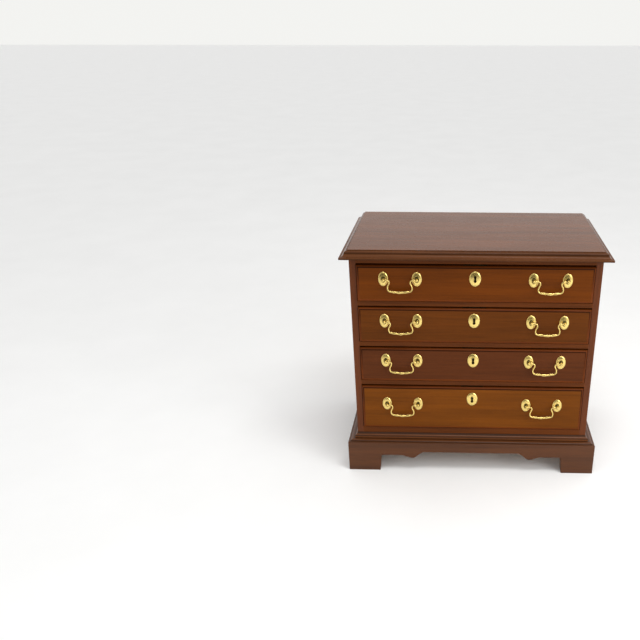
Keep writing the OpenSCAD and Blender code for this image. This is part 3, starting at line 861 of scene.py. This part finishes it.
# Bail: half the distance between its posts, its axis out from the case, and the Bezier curves of its
# line from a pin down to the middle of the bar
POST_HALF = 38.1
BAIL_AXIS_OUT = 15.0
BAIL_CURVES = [
    [(33, 0), (28.5, 0.8), (23.8, 0.4), (23.8, -5.2)],
    [(23.8, -5.2), (23.8, -9.5), (27.9, -12.5), (27.9, -18)],
    [(27.9, -18), (27.9, -24), (25.2, -26.6), (19, -27)],
    [(19, -27), (13, -27.4), (6, -28.8), (0, -28.8)],
]
BAIL_STEPS = 16
BAIL_SIDES = 18
BAIL_NECK_R = 1.6
PIN_END = 37.5
PIN_NECK = 34.2
PIN_START = 33.5
PIN_R = 1.5
# The bar grows in from one depth under the axis to another, with a leaf on each half and a knop
BAR_DEPTHS = (18.0, 26.0)
BAR_GROWTH = 0.35
LEAF_X = 13.5
LEAF_SPREAD = 6.0
LEAF_GROWTH = 0.8
KNOP_SPREAD = 5.5
KNOP_GROWTH = 1.25
TWIST_DEPTHS = (25.0, 27.0)
TWIST_X = 10.0
TWIST_SPREAD = 4.5
TWIST_SHARE = 0.14
TWIST_RATE = 0.45


def bezier(curve, t):
    """Point on a cubic Bezier curve at t, from 0 to 1."""
    weights = ((1 - t) ** 3, 3 * t * (1 - t) ** 2, 3 * t * t * (1 - t), t ** 3)
    return tuple(sum(w * p[axis] for w, p in zip(weights, curve)) for axis in (0, 1))


def bail_line():
    """Centre line of a bail seen from the front, from one pin's tip to the other's."""
    half = [(PIN_END, 0), (PIN_NECK, 0), BAIL_CURVES[0][0]]
    for curve in BAIL_CURVES:
        half += [bezier(curve, i / BAIL_STEPS) for i in range(1, BAIL_STEPS + 1)]
    return half + [(-x, z) for x, z in reversed(half[:-1])]


def share_between(depths, z):
    """How far a height has gone from one depth under the axis to another, eased from 0 to 1."""
    start, end = depths
    return ease((-z - start) / (end - start))


def bump_at(x, place, spread):
    """A smooth bump, 1 at its place and on the other side of the middle too."""
    return math.exp(-((abs(x) - place) / spread) ** 2)


def bail_radius(x, z):
    """Slim necks, a leaf-like swelling on each half of the bar, and a knop in the middle."""
    if abs(x) > PIN_START:
        return PIN_R
    leaf = LEAF_GROWTH * bump_at(x, LEAF_X, LEAF_SPREAD)
    knop = KNOP_GROWTH * bump_at(x, 0, KNOP_SPREAD)
    return BAIL_NECK_R + share_between(BAR_DEPTHS, z) * (BAR_GROWTH + leaf + knop)


def bail_twist(x, z, turn):
    """Carved spirals on the swellings of the bar, as a share of its radius."""
    depth = TWIST_SHARE * share_between(TWIST_DEPTHS, z) * bump_at(x, TWIST_X, TWIST_SPREAD)
    return 1 + depth * math.cos(2 * turn - TWIST_RATE * x)


def bail_shape(x_middle, z_axis):
    """A bail hanging from its axis, as rings of points along its line."""
    line = bail_line()
    rings = []
    for i, (x, z) in enumerate(line):
        before, after = line[max(0, i - 1)], line[min(len(line) - 1, i + 1)]
        run = Vector((after[0] - before[0], after[1] - before[1])).normalized()
        ring = []
        for k in range(BAIL_SIDES):
            turn = 2 * math.pi * k / BAIL_SIDES
            r = bail_radius(x, z) * bail_twist(x, z, turn)
            side, out = r * math.cos(turn), r * math.sin(turn)
            ring.append((x_middle + x - run.y * side, -BAIL_AXIS_OUT + out, z_axis + z + run.x * side))
        rings.append(ring)
    return loft(rings)


def middle_x(node):
    low, high = node_box(node)
    return (low.x + high.x) / 2


def make_pulls(n):
    """Both pulls of a drawer, each with two rosettes, two posts and a bail."""
    low, high = node_box(drawer_node(n, "rosettes"))
    axis_z = (low.z + high.z) / 2
    bails = [drawer_node(n, f"bail_{side}") for side in ("left", "right")]
    centres = [(middle_x(bail) + side * POST_HALF, axis_z) for bail in bails for side in (-1, 1)]
    make_rosettes(n, centres)
    make_posts(n, centres, node_box(drawer_node(n, "front"))[1].y)
    for bail in bails:
        make_piece(f"{bail}_swan_neck", bail_shape(middle_x(bail), axis_z), bail, [bail], BRASS)


# ---------------------------------------------------------------- case


def make_case():
    """CAD boards that are right as they are get their wood and rounded arrises."""
    for node in ("left_side_panel", "right_side_panel"):
        dress_node(node, CASE_WOOD["z"], arris=0.5)
    for node in ("top_rails", "drawer_dividers", "bottom_rail"):
        dress_node(node, CASE_WOOD["x"])
    for node, grain in (("back_panel", "x"), ("bottom_panel", "x"), ("drawer_runners", "y"),
                        ("drawer_stops", "x"), ("rear_brackets", "x"), ("corner_blocks", "z")):
        dress_node(node, PINE_WOOD[grain])


# ---------------------------------------------------------------- studio

# In metres. The dark card's span is its left and right ends, its place in y, and its height
FLOOR_REACH = 30.0
CARD_SPAN = (-4.0, 0.9, -1.9, 1.9)
CAMERA_AT = (-0.0418, -1.7306, 1.0328)
CAMERA_LOOK = (-0.0275, 0.8905, -0.4541)
CAMERA_RIGHT = (0.9995, 0.0311, 0.0004)
CAMERA_LENS = 40.70
CAMERA_SHIFT = (-0.18, 0.1016)


def make_camera():
    """Camera in front of the chest, looking down at it."""
    data = bpy.data.cameras.new("camera")
    data.lens = CAMERA_LENS
    data.sensor_width = 36.0
    data.shift_x, data.shift_y = CAMERA_SHIFT
    camera = new_object("camera", data)
    back = -Vector(CAMERA_LOOK).normalized()
    right = Vector(CAMERA_RIGHT).normalized()
    up = back.cross(right).normalized()
    right = up.cross(back)
    camera.matrix_world = Matrix.Translation(CAMERA_AT) @ Matrix((right, up, back)).transposed().to_4x4()
    bpy.context.scene.camera = camera


def make_floor():
    """A plain pale floor that reaches far past the picture."""
    mesh = bpy.data.meshes.new("floor")
    corners = [(x * FLOOR_REACH, y * FLOOR_REACH, 0) for x, y in ((-1, -1), (1, -1), (1, 1), (-1, 1))]
    mesh.from_pydata(corners, [], [(0, 1, 2, 3)])
    mesh.materials.append(paper("pale_paper", (0.94, 0.94, 0.925)))
    floor = new_object("floor", mesh)


def area_light(name, place, target, size, power):
    """A white softbox at a place, turned towards its target."""
    data = bpy.data.lights.new(name, "AREA")
    data.shape = "RECTANGLE"
    data.size, data.size_y = size
    data.energy = power
    light = new_object(name, data)
    light.location = place
    light.rotation_mode = "QUATERNION"
    light.rotation_quaternion = (Vector(place) - Vector(target)).to_track_quat("Z", "Y")


def make_world():
    """Even pale surroundings, brighter towards the horizon, seen by the camera as a pale wall."""
    world = bpy.data.worlds.new("studio")
    bpy.context.scene.world = world
    world.use_nodes = True
    tree = world.node_tree
    direction = add_node(tree, "ShaderNodeTexCoord").outputs["Generated"]
    height = add_node(tree, "ShaderNodeSeparateXYZ", {"Vector": direction}).outputs["Z"]
    glow = ramp(tree, height, [(0.0, (1.0, 0.98, 0.96, 1.0)), (0.12, (0.90, 0.89, 0.88, 1.0)),
                               (0.40, (0.60, 0.60, 0.60, 1.0)), (1.0, (0.48, 0.48, 0.49, 1.0))])
    camera_ray = add_node(tree, "ShaderNodeLightPath").outputs["Is Camera Ray"]
    seen = blend_colour(tree, "MIX", camera_ray, glow, (0.60, 0.60, 0.585, 1.0))
    background = tree.nodes["Background"]
    tree.links.new(seen, background.inputs["Color"])
    background.inputs["Strength"].default_value = 1.5


def make_dark_card():
    """A dark card in front of the chest that only shows in its polish and its brass."""
    material, _, shader = new_material("dark_card")
    shader.inputs["Base Color"].default_value = (0.11, 0.105, 0.09, 1.0)
    shader.inputs["Roughness"].default_value = 1.0
    shader.inputs["Specular IOR Level"].default_value = 0.0
    mesh = bpy.data.meshes.new("dark_card")
    left, right, y, high = CARD_SPAN
    corners = [(left, y, 0), (right, y, 0), (right, y, high), (left, y, high)]
    mesh.from_pydata(corners, [], [(0, 1, 2, 3)])
    mesh.materials.append(material)
    card = new_object("dark_card", mesh)
    card.visible_camera = False
    card.visible_diffuse = False
    card.visible_shadow = False
    card.visible_transmission = False


def make_studio():
    """Surroundings, floor, dark card and two softboxes."""
    make_world()
    make_floor()
    make_dark_card()
    area_light("softbox_over", (0.35, -0.85, 2.4), (0, 0, 0.3), (1.3, 0.5), 18.0)
    area_light("softbox_right", (1.3, -1.2, 1.0), (0.5, -0.5, 0), (0.9, 0.9), 11.0)
    bpy.context.scene.view_settings.view_transform = "Standard"


make_camera()
make_studio()
make_top()
make_front_base()
make_side_bases()
make_case()
for drawer in range(1, DRAWERS + 1):
    make_drawer(drawer)
    make_pulls(drawer)
